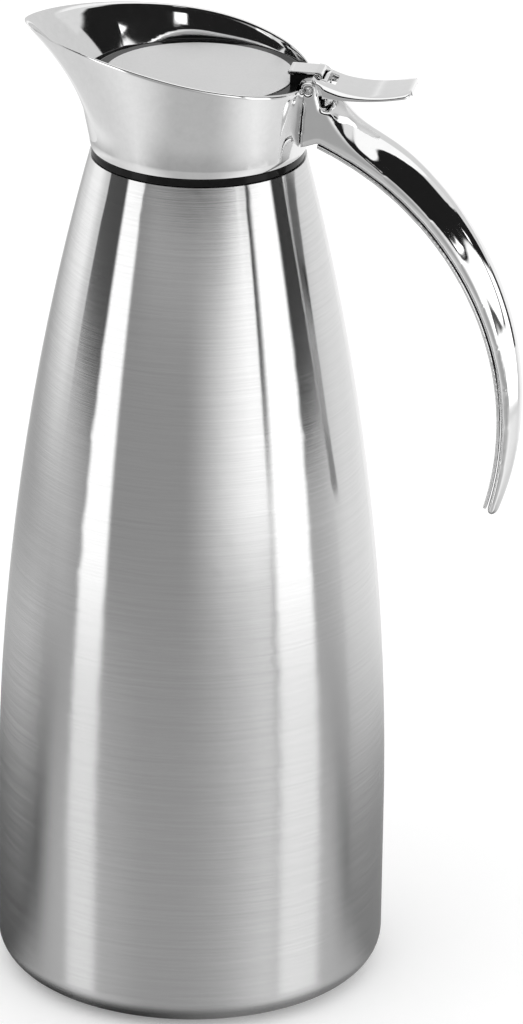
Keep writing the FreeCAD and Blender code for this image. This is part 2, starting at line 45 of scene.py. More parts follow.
scene.view_settings.view_transform = "Standard"
mm = 0.001
mergeDistance = 1e-6          # metres
bpy.ops.object.select_all(action="DESELECT")
print("frame loaded:", len(nodes), "pieces")


# camera, fitted to the base ellipse, the body's edges and the rim
cameraSet = {
    "place": (0.3512, -1.9690, 0.9761),
    "look": (-0.15266, 0.91227, -0.38008),
    "roll": 0.865,            # degrees
    "lens": 238.3,
}


def addCamera(s):
    bpy.ops.object.camera_add(location=s["place"])
    camera = bpy.context.object
    camera.name = "photoCamera"
    camera.data.lens = s["lens"]
    camera.rotation_mode = "QUATERNION"
    aim = Vector(s["look"]).to_track_quat("-Z", "Y")
    camera.rotation_quaternion = aim @ Quaternion((0, 0, 1), math.radians(s["roll"]))
    scene.camera = camera


addCamera(cameraSet)
print("camera placed")


# small node helpers
def addNode(tree, kind, **sockets):
    node = tree.nodes.new(kind)
    for name, value in sockets.items():
        node.inputs[name.replace("_", " ")].default_value = value
    return node


def calc(tree, operation, *values):
    node = tree.nodes.new("ShaderNodeMath")
    node.operation = operation
    for index, value in enumerate(values):
        if isinstance(value, (int, float)):
            node.inputs[index].default_value = value
        else:
            tree.links.new(value, node.inputs[index])
    return node.outputs[0]


def ease(tree, value, fromLow, fromHigh, toLow=0.0, toHigh=1.0):
    node = tree.nodes.new("ShaderNodeMapRange")
    node.interpolation_type = "SMOOTHSTEP"
    tree.links.new(value, node.inputs["Value"])
    ends = {"From Min": fromLow, "From Max": fromHigh, "To Min": toLow, "To Max": toHigh}
    for name, end in ends.items():
        node.inputs[name].default_value = end
    return node.outputs["Result"]


def blend(tree, share, first, second):
    node = tree.nodes.new("ShaderNodeMix")
    for socket, value in ((node.inputs[0], share), (node.inputs[2], first), (node.inputs[3], second)):
        if isinstance(value, (int, float)):
            socket.default_value = value
        else:
            tree.links.new(value, socket)
    return node.outputs[0]


# studio: white for the camera, cards and dark gaps for the metal, even light for the rest
studioSet = {
    "facing": 10.1,           # degrees from -Y to the camera
    "front": 0.43,
    "back": 1.1,
    "frontEnds": 55,
    "backStarts": 125,
    "even": 0.95,
    "cards": (                # azimuth from the camera, to the right; heights in degrees
        {"name": "floorNear", "at": 0, "half": 180, "soft": 1,
         "low": -95, "high": -27, "edge": 8, "level": 0.8},
        {"name": "floorFront", "at": 0, "half": 45, "soft": 50,
         "low": -95, "high": -25, "edge": 8, "level": 0.57},
        {"name": "floorLeft", "at": -135, "half": 40, "soft": 30,
         "low": -24, "high": -13, "edge": 7, "level": 0.5},
        {"name": "leftBack", "at": -124, "half": 13, "soft": 14,
         "low": -9, "high": 10, "edge": 6, "level": 1.5},
        {"name": "rightFill", "at": 46, "half": 28, "soft": 56,
         "low": -12, "high": 10, "edge": 10, "level": 1.75},
        {"name": "overhead", "at": 0, "half": 180, "soft": 4,
         "low": 10, "high": 95, "edge": 2, "level": 0.8},
        {"name": "frontHigh", "at": 0, "half": 95, "soft": 20,
         "low": 33, "high": 95, "edge": 3, "level": 1.2},
        {"name": "frontDark", "at": -8, "half": 94, "soft": 2,
         "low": 9.5, "high": 34, "edge": 1.5, "level": 0.015},
        {"name": "sideHigh", "at": 76, "half": 22, "soft": 10,
         "low": 26.5, "high": 36, "edge": 2, "level": 0.9},
        {"name": "smallLamp", "at": 16, "half": 3.5, "soft": 1,
         "low": 21.6, "high": 23, "edge": 1, "level": 2.2},
        {"name": "streakLamp", "at": 41, "half": 2, "soft": 1,
         "low": 11, "high": 13.5, "edge": 1, "level": 2.0},
        {"name": "frontMid", "at": -12, "half": 38, "soft": 30,
         "low": 4, "high": 9.5, "edge": 3, "level": 0.7},
        {"name": "leftGap", "at": -88, "half": 13, "soft": 2,
         "low": -6, "high": 10, "edge": 1.5, "level": 0.1},
        {"name": "rightGap", "at": 91, "half": 12, "soft": 2,
         "low": -8.5, "high": 10, "edge": 1.5, "level": 0.05},
        {"name": "thinGap", "at": 52, "half": 3.5, "soft": 1.5,
         "low": -5.5, "high": 10, "edge": 2, "level": 0.1},
        {"name": "leftBox", "at": -66, "half": 9.5, "soft": 4,
         "low": -20, "high": 9.5, "edge": 4, "level": 1.8},
        {"name": "rightBox", "at": 66, "half": 13, "soft": 5,
         "low": -20, "high": 9.5, "edge": 4, "level": 1.9},
        {"name": "leftGlow", "at": -68, "half": 14, "soft": 50,
         "low": -60, "high": -21, "edge": 6, "level": 1.0},
        {"name": "rightGlow", "at": 64, "half": 22, "soft": 64,
         "low": -60, "high": -21, "edge": 6, "level": 1.1},
    ),
}


def buildStudio(s):
    world = bpy.data.worlds.new("studioWorld")
    scene.world = world
    world.use_nodes = True
    tree = world.node_tree
    tree.nodes.clear()
    way = addNode(tree, "ShaderNodeTexCoord").outputs["Generated"]
    turn = addNode(tree, "ShaderNodeMapping", Rotation=(0, 0, -math.radians(s["facing"])))
    tree.links.new(way, turn.inputs["Vector"])
    parts = addNode(tree, "ShaderNodeSeparateXYZ")
    tree.links.new(turn.outputs[0], parts.inputs[0])
    toFront = calc(tree, "MULTIPLY", parts.outputs["Y"], -1.0)
    azimuth = calc(tree, "ARCTAN2", parts.outputs["X"], toFront)
    height = calc(tree, "ARCSINE", parts.outputs["Z"])
    aside = calc(tree, "ABSOLUTE", azimuth)
    frontEnds, backStarts = math.radians(s["frontEnds"]), math.radians(s["backStarts"])
    level = ease(tree, aside, frontEnds, backStarts, s["front"], s["back"])
    for card in s["cards"]:
        off = calc(tree, "SUBTRACT", azimuth, math.radians(card["at"]))
        off = calc(tree, "ABSOLUTE", calc(tree, "WRAP", off, math.pi, -math.pi))
        half, soft = math.radians(card["half"]), math.radians(card["soft"])
        across = ease(tree, off, half - soft / 2, half + soft / 2, 1.0, 0.0)
        low, high, edge = (math.radians(card[key]) for key in ("low", "high", "edge"))
        above = ease(tree, height, low - edge / 2, low + edge / 2)
        below = ease(tree, height, high - edge / 2, high + edge / 2, 1.0, 0.0)
        share = calc(tree, "MULTIPLY", across, calc(tree, "MULTIPLY", above, below))
        level = blend(tree, share, level, card["level"])
    path = addNode(tree, "ShaderNodeLightPath")
    mirrored = calc(tree, "MAXIMUM", path.outputs["Is Glossy Ray"], path.outputs["Is Transmission Ray"])
    shown = blend(tree, mirrored, s["even"], level)
    shown = blend(tree, path.outputs["Is Camera Ray"], shown, 1.0)
    light = addNode(tree, "ShaderNodeBackground")
    tree.links.new(shown, light.inputs["Strength"])
    light.inputs["Color"].default_value = (1, 1, 1, 1)
    out = addNode(tree, "ShaderNodeOutputWorld")
    tree.links.new(light.outputs[0], out.inputs["Surface"])


buildStudio(studioSet)
print("studio built with", len(studioSet["cards"]), "cards")


# floor: pale, keeps the jug's shadow; for glossy rays it shows a painted shadow, a dark emission close
# behind the jug and round its foot
floorSet = {
    "size": 6.0, "cuts": 8, "colour": (0.93, 0.93, 0.93, 1), "rough": 0.9, "shine": 0.1, "glow": 0.2,
    # painted shadow seen in the metal: its reach, its side behind the jug, its ring round the foot, and its
    # levels on the left and right
    "near": (0.18, 0.34), "behind": (-0.05, 0.0), "foot": (0.063, 0.07),
    "leftShadowLevel": 0.04, "rightShadowLevel": 0.25, "shadowSideEdge": 0.02,
    "lampPlace": (-0.7, -0.9, 1.5), "lampAim": (0, 0, 0.15), "lampSize": 1.0, "lampPower": 1.2,
}


# painted shadow for glossy rays: a dark emission stands in for the jug's shadow on the floor near and
# behind it and round its foot; further out the floor is clear and the studio shows
def paintedFloorShadow(tree, s):
    place = addNode(tree, "ShaderNodeTexCoord").outputs["Object"]
    turn = addNode(tree, "ShaderNodeMapping", Rotation=(0, 0, -math.radians(studioSet["facing"])))
    tree.links.new(place, turn.inputs["Vector"])
    parts = addNode(tree, "ShaderNodeSeparateXYZ")
    tree.links.new(turn.outputs[0], parts.inputs[0])
    distance = tree.nodes.new("ShaderNodeVectorMath")
    distance.operation = "LENGTH"
    tree.links.new(place, distance.inputs[0])
    reach = distance.outputs["Value"]
    near = ease(tree, reach, *s["near"], 1.0, 0.0)
    behind = ease(tree, parts.outputs["Y"], *s["behind"])
    foot = ease(tree, reach, *s["foot"], 1.0, 0.0)
    share = calc(tree, "MAXIMUM", calc(tree, "MULTIPLY", near, behind), foot)
    # the painted shadow is darker on the left than on the right
    tone = ease(tree, parts.outputs["X"], -s["shadowSideEdge"], s["shadowSideEdge"], s["leftShadowLevel"], s["rightShadowLevel"])
    dark = addNode(tree, "ShaderNodeEmission")
    tree.links.new(tone, dark.inputs["Strength"])
    clear = addNode(tree, "ShaderNodeBsdfTransparent")
    mix = addNode(tree, "ShaderNodeMixShader")
    tree.links.new(share, mix.inputs[0])
    tree.links.new(clear.outputs[0], mix.inputs[1])
    tree.links.new(dark.outputs[0], mix.inputs[2])
    return mix.outputs[0]


def buildFloor(s):
    bpy.ops.mesh.primitive_grid_add(x_subdivisions=s["cuts"], y_subdivisions=s["cuts"], size=s["size"])
    floor = bpy.context.object
    floor.name = "paleFloor"
    material = bpy.data.materials.new("palePaper")
    material.use_nodes = True
    tree = material.node_tree
    shader = tree.nodes["Principled BSDF"]
    shader.inputs["Roughness"].default_value = s["rough"]
    shader.inputs["Base Color"].default_value = s["colour"]
    shader.inputs["Specular IOR Level"].default_value = s["shine"]
    shader.inputs["Emission Color"].default_value = (1, 1, 1, 1)
    shader.inputs["Emission Strength"].default_value = s["glow"]
    path = addNode(tree, "ShaderNodeLightPath")
    shown = addNode(tree, "ShaderNodeMixShader")
    # glossy rays see the painted shadow instead of the lit floor
    tree.links.new(path.outputs["Is Glossy Ray"], shown.inputs[0])
    tree.links.new(shader.outputs[0], shown.inputs[1])
    tree.links.new(paintedFloorShadow(tree, s), shown.inputs[2])
    tree.links.new(shown.outputs[0], tree.nodes["Material Output"].inputs["Surface"])
    floor.data.materials.append(material)
    bpy.ops.object.light_add(type="AREA", location=s["lampPlace"])
    lamp = bpy.context.object
    lamp.name = "softLamp"
    lamp.data.energy = s["lampPower"]
    lamp.data.size = s["lampSize"]
    aim = Vector(s["lampAim"]) - lamp.location
    lamp.rotation_euler = aim.to_track_quat("-Z", "Y").to_euler()
    lamp.visible_glossy = False


buildFloor(floorSet)
print("floor laid")


# finishes: two shared effects, then one material for each finish
def newGroup(name, inputs, outputs):
    group = bpy.data.node_groups.new(name, "ShaderNodeTree")
    for label, kind, value in inputs:
        socket = group.interface.new_socket(name=label, in_out="INPUT", socket_type=kind)
        socket.default_value = value
    for label, kind in outputs:
        group.interface.new_socket(name=label, in_out="OUTPUT", socket_type=kind)
    return group, group.nodes.new("NodeGroupInput"), group.nodes.new("NodeGroupOutput")


brushSet = {"broadScale": 0.4, "broadShare": 0.35, "contrast": (0.3, 0.7)}
wearSet = {"wideScale": 28.0, "wideShare": 0.5, "contrast": (0.35, 0.7)}
number = "NodeSocketFloat"


def buildBrushLines(s):
    group, given, made = newGroup(
        "brushLines",
        (("Along", number, 8.0), ("Across", number, 2600.0), ("Low", number, 0.2), ("High", number, 0.4)),
        (("Roughness", number), ("Height", number), ("Tone", number)))
    place = group.nodes.new("ShaderNodeTexCoord").outputs["Object"]
    stretch = group.nodes.new("ShaderNodeCombineXYZ")
    for axis, name in (("X", "Along"), ("Y", "Along"), ("Z", "Across")):
        group.links.new(given.outputs[name], stretch.inputs[axis])
    scaled = group.nodes.new("ShaderNodeVectorMath")
    scaled.operation = "MULTIPLY"
    group.links.new(place, scaled.inputs[0])
    group.links.new(stretch.outputs[0], scaled.inputs[1])
    fine = addNode(group, "ShaderNodeTexNoise", Scale=1.0, Detail=3.0, Roughness=0.6)
    group.links.new(scaled.outputs[0], fine.inputs["Vector"])
    broad = addNode(group, "ShaderNodeTexNoise", Scale=s["broadScale"], Detail=2.0, Roughness=0.5)
    group.links.new(scaled.outputs[0], broad.inputs["Vector"])
    mixed = blend(group, s["broadShare"], fine.outputs[0], broad.outputs[0])
    lines = ease(group, mixed, *s["contrast"])
    spread = calc(group, "SUBTRACT", given.outputs["High"], given.outputs["Low"])
    rough = calc(group, "ADD", calc(group, "MULTIPLY", lines, spread), given.outputs["Low"])
    group.links.new(rough, made.inputs["Roughness"])
    group.links.new(lines, made.inputs["Height"])
    group.links.new(mixed, made.inputs["Tone"])
    return group


def buildFineWear(s):
    group, given, made = newGroup(
        "fineWear",
        (("Scale", number, 300.0), ("Low", number, 0.05), ("High", number, 0.1)),
        (("Roughness", number), ("Height", number), ("Tone", number)))
    place = group.nodes.new("ShaderNodeTexCoord").outputs["Object"]
    haze = addNode(group, "ShaderNodeTexNoise", Detail=4.0, Roughness=0.65)
    group.links.new(place, haze.inputs["Vector"])
    group.links.new(given.outputs["Scale"], haze.inputs["Scale"])
    wide = addNode(group, "ShaderNodeTexNoise", Scale=s["wideScale"], Detail=2.0)
    group.links.new(place, wide.inputs["Vector"])
    mixed = blend(group, s["wideShare"], haze.outputs[0], wide.outputs[0])
    worn = ease(group, mixed, *s["contrast"])
    spread = calc(group, "SUBTRACT", given.outputs["High"], given.outputs["Low"])
    rough = calc(group, "ADD", calc(group, "MULTIPLY", worn, spread), given.outputs["Low"])
    group.links.new(rough, made.inputs["Roughness"])
    group.links.new(haze.outputs[0], made.inputs["Height"])
    group.links.new(mixed, made.inputs["Tone"])
    return group


brushLines = buildBrushLines(brushSet)
fineWear = buildFineWear(wearSet)
toneRange = (0.35, 0.65)
brushTurn = 0.25
plainGloss = 0.5
bumpDepth = 0.5 * mm

finishSet = {
    "brushedBody": {
        "effect": "lines", "dark": 0.553, "light": 0.607, "along": 40.0, "across": 2600.0,
        "low": 0.235, "high": 0.27, "bump": 0.015, "anisotropic": 1.0, "metal": 1,
        "polish": {"from": 0.10, "to": 0.18, "rough": 0.10},
    },
    "flaskSteel": {
        "effect": "lines", "dark": 0.52, "light": 0.64, "along": 9.0, "across": 1500.0,
        "low": 0.22, "high": 0.36, "bump": 0.03, "anisotropic": 0.6, "metal": 1,
    },
    "mirrorSteel": {
        "effect": "wear", "dark": 0.74, "light": 0.80, "scale": 420.0, "low": 0.05,
        "high": 0.10, "bump": 0.004, "metal": 1,
    },
    "discSteel": {
        "effect": "wear", "dark": 0.72, "light": 0.80, "scale": 1600.0, "low": 0.40,
        "high": 0.52, "bump": 0.02, "metal": 1,
    },
    "chromedCast": {
        "effect": "wear", "dark": 0.78, "light": 0.83, "scale": 260.0, "low": 0.02,
        "high": 0.06, "bump": 0.004, "metal": 1,
    },
    "screwSteel": {
        "effect": "wear", "dark": 0.45, "light": 0.60, "scale": 1500.0, "low": 0.2,
        "high": 0.35, "bump": 0.03, "metal": 1,
    },
    "springSteel": {
        "effect": "wear", "dark": 0.36, "light": 0.50, "scale": 1800.0, "low": 0.25,
        "high": 0.4, "bump": 0.03, "metal": 1,
    },
    "getterMetal": {
        "effect": "wear", "dark": 0.38, "light": 0.52, "scale": 700.0, "low": 0.45,
        "high": 0.65, "bump": 0.06, "metal": 1,
    },
    "glossBlack": {
        "effect": "wear", "dark": 0.003, "light": 0.008, "scale": 700.0, "low": 0.07,
        "high": 0.16, "bump": 0.01, "metal": 0, "gloss": 0.15,
    },
    "satinBlack": {
        "effect": "wear", "dark": 0.010, "light": 0.022, "scale": 2200.0, "low": 0.28,
        "high": 0.42, "bump": 0.05, "metal": 0,
    },
    "darkSilicone": {
        "effect": "wear", "dark": 0.03, "light": 0.05, "scale": 1300.0, "low": 0.5,
        "high": 0.65, "bump": 0.05, "metal": 0,
    },
    "paleFoam": {
        "effect": "wear", "dark": 0.62, "light": 0.80, "scale": 1600.0, "low": 0.8,
        "high": 0.95, "bump": 0.3, "metal": 0,
    },
}


def buildFinish(name, s):
    material = bpy.data.materials.new(name)
    material.use_nodes = True
    tree = material.node_tree
    shader = tree.nodes["Principled BSDF"]
    shader.inputs["Metallic"].default_value = s["metal"]
    effect = tree.nodes.new("ShaderNodeGroup")
    effect.node_tree = brushLines if s["effect"] == "lines" else fineWear
    effect.inputs["Low"].default_value = s["low"]
    effect.inputs["High"].default_value = s["high"]
    if s["effect"] == "lines":
        effect.inputs["Along"].default_value = s["along"]
        effect.inputs["Across"].default_value = s["across"]
        shader.inputs["Anisotropic"].default_value = s["anisotropic"]
        shader.inputs["Anisotropic Rotation"].default_value = brushTurn
    else:
        effect.inputs["Scale"].default_value = s["scale"]
    tone = tree.nodes.new("ShaderNodeValToRGB")
    tone.color_ramp.elements[0].position = toneRange[0]
    tone.color_ramp.elements[1].position = toneRange[1]
    tone.color_ramp.elements[0].color = (s["dark"], s["dark"], s["dark"], 1)
    tone.color_ramp.elements[1].color = (s["light"], s["light"], s["light"], 1)
    tree.links.new(effect.outputs["Tone"], tone.inputs["Fac"])
    tree.links.new(tone.outputs["Color"], shader.inputs["Base Color"])
    rough = effect.outputs["Roughness"]
    if "polish" in s:         # the brushing fades into a polished upper part
        place = addNode(tree, "ShaderNodeTexCoord")
        parts = addNode(tree, "ShaderNodeSeparateXYZ")
        tree.links.new(place.outputs["Object"], parts.inputs[0])
        upper = ease(tree, parts.outputs["Z"], s["polish"]["from"], s["polish"]["to"])
        rough = blend(tree, upper, rough, s["polish"]["rough"])
    tree.links.new(rough, shader.inputs["Roughness"])
    shader.inputs["Specular IOR Level"].default_value = s.get("gloss", plainGloss)
    bump = addNode(tree, "ShaderNodeBump", Strength=s["bump"], Distance=bumpDepth)
    tree.links.new(effect.outputs["Height"], bump.inputs["Height"])
    tree.links.new(bump.outputs["Normal"], shader.inputs["Normal"])
    return material


finishes = {name: buildFinish(name, s) for name, s in finishSet.items()}

pieceFinish = {
    "outer_shell": "brushedBody", "inner_flask": "flaskSteel", "getter": "getterMetal",
    "base_cap": "flaskSteel", "vacuum_bead": "getterMetal", "base_cover": "satinBlack",
    "foot_ring": "darkSilicone", "neck_ring": "glossBlack", "flask_seal": "darkSilicone",
    "pour_insert": "satinBlack", "collar": "mirrorSteel", "handle": "chromedCast",
    "handle_strip": "chromedCast", "handle_screws": "screwSteel", "hinge_pin": "screwSteel",
    "return_spring": "springSteel", "thumb_lever": "chromedCast", "lid_body": "glossBlack",
    "lid_disc": "discSteel", "lid_strap": "mirrorSteel", "lid_seal": "darkSilicone",
    "lid_plug": "satinBlack", "plug_foam": "paleFoam", "plug_screw": "screwSteel",
}


def dress(piece, finish):
    piece.data.materials.clear()
    piece.data.materials.append(finishes[finish])


for name, finish in pieceFinish.items():
    dress(nodes[name], finish)
print("finishes on", len(pieceFinish), "pieces")


# new pieces: each stands for a CAD node that has sharp edges; the spring is a joined copy of its CAD node,
# attached to no body
smoothAngle = 40              # degrees


def finishPiece(piece, name, node, body, finish):
    piece.name = name
    piece.data.name = name
    bpy.ops.object.select_all(action="DESELECT")
    piece.select_set(True)
    bpy.context.view_layer.objects.active = piece
    bpy.ops.object.shade_smooth_by_angle(angle=math.radians(smoothAngle))
    dress(piece, finish)
    if body:
        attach(piece, body)
    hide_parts(node)
    print(name, "stands for", node)


def applyModifier(piece, kind, **settings):
    modifier = piece.modifiers.new(kind.lower(), kind)
    for key, value in settings.items():
        setattr(modifier, key, value)
    bpy.context.view_layer.objects.active = piece
    bpy.ops.object.modifier_apply(modifier=modifier.name)


def softenEdges(piece, width, segments, angle):
    applyModifier(piece, "BEVEL", width=width * mm, segments=segments, limit_method="ANGLE",
                  angle_limit=math.radians(angle))


def circleThrough(first, second, third):
    (ax, az), (bx, bz), (cx, cz) = first, second, third
    turn = 2 * (ax * (bz - cz) + bx * (cz - az) + cx * (az - bz))
    aa, bb, cc = ax * ax + az * az, bx * bx + bz * bz, cx * cx + cz * cz
    x = (aa * (bz - cz) + bb * (cz - az) + cc * (az - bz)) / turn
    z = (aa * (cx - bx) + bb * (ax - cx) + cc * (bx - ax)) / turn
    return x, z, math.hypot(ax - x, az - z)


# collar: flares into the spout, with a rounded rim and an inside that leans out
collarSet = {                 # millimetres
    "foot": 278.3, "height": 37.2, "radius": 34.0, "backFlare": 4.3, "spoutFlare": 21.5,
    "pinch": 0.4, "blunt": 0.12, "rim": ((-54.5, 315.5), (0.0, 309.7), (35.64, 301.3)),
    "columns": 176, "outerRows": 22, "rimRows": 10, "innerRows": 14,
    "rimOut": 0.7, "tipThin": 0.6, "rimDrop": 1.5, "footRound": 0.4,
    "lean": (20.5, 18.0), "lidRoom": 33.85, "insideFoot": 295.4, "wall": 1.05,
    "rimTries": 12, "leastInside": 0.5, "turnStep": 0.01,
    "notchAngle": 14.1, "notchEdge": 0.05, "notchSide": 0.1, "notchFloor": 296.8,
}


def collarOutline(s, angle, z):
    share = max(0.0, (z - s["foot"]) / s["height"]) ** 2
    back = s["radius"] + s["backFlare"] * share
    if abs(angle) <= math.pi / 2:
        return Vector((back * math.cos(angle), back * math.sin(angle)))
    along = math.sin(abs(angle) - math.pi / 2)
    reach = s["radius"] + s["spoutFlare"] * share
    blunt, power = 2 - s["pinch"] * share, 0.5 + s["blunt"] * share
    width = back * max(0.0, 1 - along ** blunt) ** power
    return Vector((-along * reach, math.copysign(width, angle)))


def collarRim(s, angle):
    x, z, radius = circleThrough(*s["rim"])
    height = s["foot"] + s["height"]
    for _ in range(s["rimTries"]):
        across = collarOutline(s, angle, height).x - x
        height = z - math.copysign(math.sqrt(radius ** 2 - across ** 2), z - s["foot"])
    if abs(math.degrees(angle)) < s["notchAngle"] + s["notchEdge"]:
        return s["notchFloor"]
    return height


def collarInward(s, angle, z):
    step = s["turnStep"]
    ahead, behind = collarOutline(s, angle + step, z), collarOutline(s, angle - step, z)
    if abs(angle) + step > math.pi:
        return Vector((1, 0))
    along = (ahead - behind).normalized()
    return Vector((-along.y, along.x))


def collarPoint(s, angle, row):
    top = collarRim(s, angle)
    towardTip = max(0.0, -math.cos(angle)) ** 2
    rimOut = s["rimOut"] * (1 - s["tipThin"] * towardTip)
    if row <= s["outerRows"]:
        share = row / s["outerRows"]
        z = s["foot"] + (top - s["rimDrop"] - s["foot"]) * share
        inset = s["footRound"] if row == 0 else 0.0
    elif row <= s["outerRows"] + s["rimRows"]:
        turn = math.pi * (row - s["outerRows"]) / s["rimRows"]
        z = top - s["rimDrop"] * (1 - math.sin(turn))
        width = rimOut if turn < math.pi / 2 else s["wall"] - rimOut
        inset = rimOut - width * math.cos(turn)
    else:
        share = (row - s["outerRows"] - s["rimRows"]) / s["innerRows"]
        start = top - s["rimDrop"]
        z = start + (min(s["insideFoot"], start - s["leastInside"]) - start) * share
        wide = collarOutline(s, angle, z).length
        topSlope, footSlope = (math.tan(math.radians(lean)) for lean in s["lean"])
        slope = topSlope + (footSlope - topSlope) * share / 2
        flared = collarOutline(s, angle, z) - collarOutline(s, angle, start)
        leant = flared.dot(collarInward(s, angle, z))
        inset = s["wall"] + max(0.0, (start - z) * slope - leant)
        inset = min(inset, max(s["wall"], wide - s["lidRoom"]))
    place = collarOutline(s, angle, z) + collarInward(s, angle, z) * inset
    return Vector((place.x, place.y, z)) * mm


def buildCollar(s):
    bpy.ops.object.select_all(action="DESELECT")
    bpy.ops.mesh.primitive_circle_add(vertices=s["columns"], radius=1.0)
    collar = bpy.context.object
    rows = s["outerRows"] + s["rimRows"] + s["innerRows"]
    bpy.ops.object.mode_set(mode="EDIT")
    bpy.ops.mesh.select_all(action="SELECT")
    for _ in range(rows):
        bpy.ops.mesh.extrude_region_move(TRANSFORM_OT_translate={"value": (0, 0, 1)})
    bpy.ops.object.mode_set(mode="OBJECT")
    step = 2 * math.pi / s["columns"]
    edge = round(math.radians(s["notchAngle"]) / step)
    for vertex in collar.data.vertices:
        angle = math.atan2(vertex.co.y, vertex.co.x)
        column = round(abs(angle) / step)
        if column in (edge, edge + 1):       # the two columns of the notch's side
            side = s["notchAngle"] + s["notchSide"] * (column - edge)
            angle = math.copysign(math.radians(side), angle)
        vertex.co = collarPoint(s, angle, round(vertex.co.z))
    bpy.ops.object.mode_set(mode="EDIT")
    bpy.ops.mesh.select_all(action="SELECT")
    bpy.ops.mesh.region_to_loop()
    bpy.ops.mesh.bridge_edge_loops()
    bpy.ops.mesh.select_all(action="SELECT")
    bpy.ops.mesh.normals_make_consistent(inside=False)
    bpy.ops.object.mode_set(mode="OBJECT")
    finishPiece(collar, "rolledCollar", "collar", "jug", "mirrorSteel")


buildCollar(collarSet)


# bent sheet: a flat grid laid along a path, then given its thickness and soft edges
sheetEdge = {"segments": 3, "angle": 50}
solidEdge = {"segments": 2, "angle": 40}


def bendSheet(rows, columns, place, openings, thickness, softEdge):
    bpy.ops.object.select_all(action="DESELECT")
    bpy.ops.mesh.primitive_grid_add(x_subdivisions=rows, y_subdivisions=columns, size=2.0)
    sheet = bpy.context.object
    for vertex in sheet.data.vertices:
        row, column = round((vertex.co.x + 1) / 2 * rows), round((vertex.co.y + 1) / 2 * columns)
        vertex.co = place(row, column) * mm
    bpy.ops.object.mode_set(mode="EDIT")
    bpy.ops.mesh.select_all(action="DESELECT")
    bpy.ops.object.mode_set(mode="OBJECT")
    for face in sheet.data.polygons:
        face.select = openings(face.center / mm)
    bpy.ops.object.mode_set(mode="EDIT")
    bpy.ops.mesh.delete(type="FACE")
    bpy.ops.mesh.select_all(action="SELECT")
    bpy.ops.mesh.remove_doubles(threshold=mergeDistance)
    bpy.ops.mesh.normals_make_consistent(inside=False)
    bpy.ops.object.mode_set(mode="OBJECT")
    if max(sheet.data.polygons, key=lambda face: face.center.z).normal.z < 0:
        bpy.ops.object.mode_set(mode="EDIT")
        bpy.ops.mesh.flip_normals()
        bpy.ops.object.mode_set(mode="OBJECT")
    applyModifier(sheet, "SOLIDIFY", thickness=thickness * mm, offset=-1.0, use_even_offset=True)
    softenEdges(sheet, softEdge, **sheetEdge)
    return sheet


def solidOutline(points, low, high, softEdge):
    bpy.ops.object.select_all(action="DESELECT")
    bpy.ops.mesh.primitive_circle_add(vertices=len(points), radius=1.0, fill_type="NGON")
    solid = bpy.context.object
    for vertex, (x, z) in zip(solid.data.vertices, points):
        vertex.co = Vector((x, low, z)) * mm
    bpy.ops.object.mode_set(mode="EDIT")
    bpy.ops.mesh.select_all(action="SELECT")
    bpy.ops.mesh.extrude_region_move(TRANSFORM_OT_translate={"value": (0, (high - low) * mm, 0)})
    bpy.ops.mesh.select_all(action="SELECT")
    bpy.ops.mesh.normals_make_consistent(inside=False)
    bpy.ops.object.mode_set(mode="OBJECT")
    softenEdges(solid, softEdge, **solidEdge)
    return solid


def joinPieces(pieces):
    bpy.ops.object.select_all(action="DESELECT")
    for piece in pieces:
        piece.select_set(True)
    bpy.context.view_layer.objects.active = pieces[0]
    bpy.ops.object.join()
    return pieces[0]


pinPlace = (35.6012, 301.0)   # millimetres, x and z of the hinge


# thumb lever: a pressed plate with rolled sides, a slot for the strap's hook, two ears and a bar
leverSet = {                  # millimetres from the pin
    "topArc": ((1.325, 4.0), (15.95, -0.45), (31.9, 1.5)),
    "skirtArc": ((4.8, -1.9), (19.14, -2.1), (31.9, -0.1)),
    "heelLine": ((1.325, 3.05), (3.9, 1.2), (4.8, -1.9)),
    "halfWidth": 9.25, "cornerRound": 2.4, "tipCorner": 2.0, "heelCorner": 1.6, "curlShare": 0.85,
    "rows": (1.325, 2.6, 3.9, 4.8, 6.4, 8.0), "plainRows": 22, "tipRows": 7,
    "skirtSteps": 3, "cornerSteps": 8, "topSteps": 8,
    "slotHalf": 4.5, "slotEnd": 8.0, "thickness": 1.3, "softEdge": 0.3,
    "ear": (4.6, 5.8), "earRadius": 3.2, "earSteps": 28, "earTop": (1.325, 3.3), "earSoft": 0.15,
    "bar": (4.2, 5.4, 2.6), "barHalf": 5.2, "barSoft": 0.25,
}


def lowArc(points, x):
    centreX, centreZ, radius = circleThrough(*points)
    return centreZ - math.sqrt(radius ** 2 - (x - centreX) ** 2)


def leverSkirt(s, x):
    if x >= s["heelLine"][-1][0]:
        return lowArc(s["skirtArc"], x)
    for (x0, z0), (x1, z1) in zip(s["heelLine"], s["heelLine"][1:]):
        if x <= x1:
            return z0 + (z1 - z0) * (x - x0) / (x1 - x0)


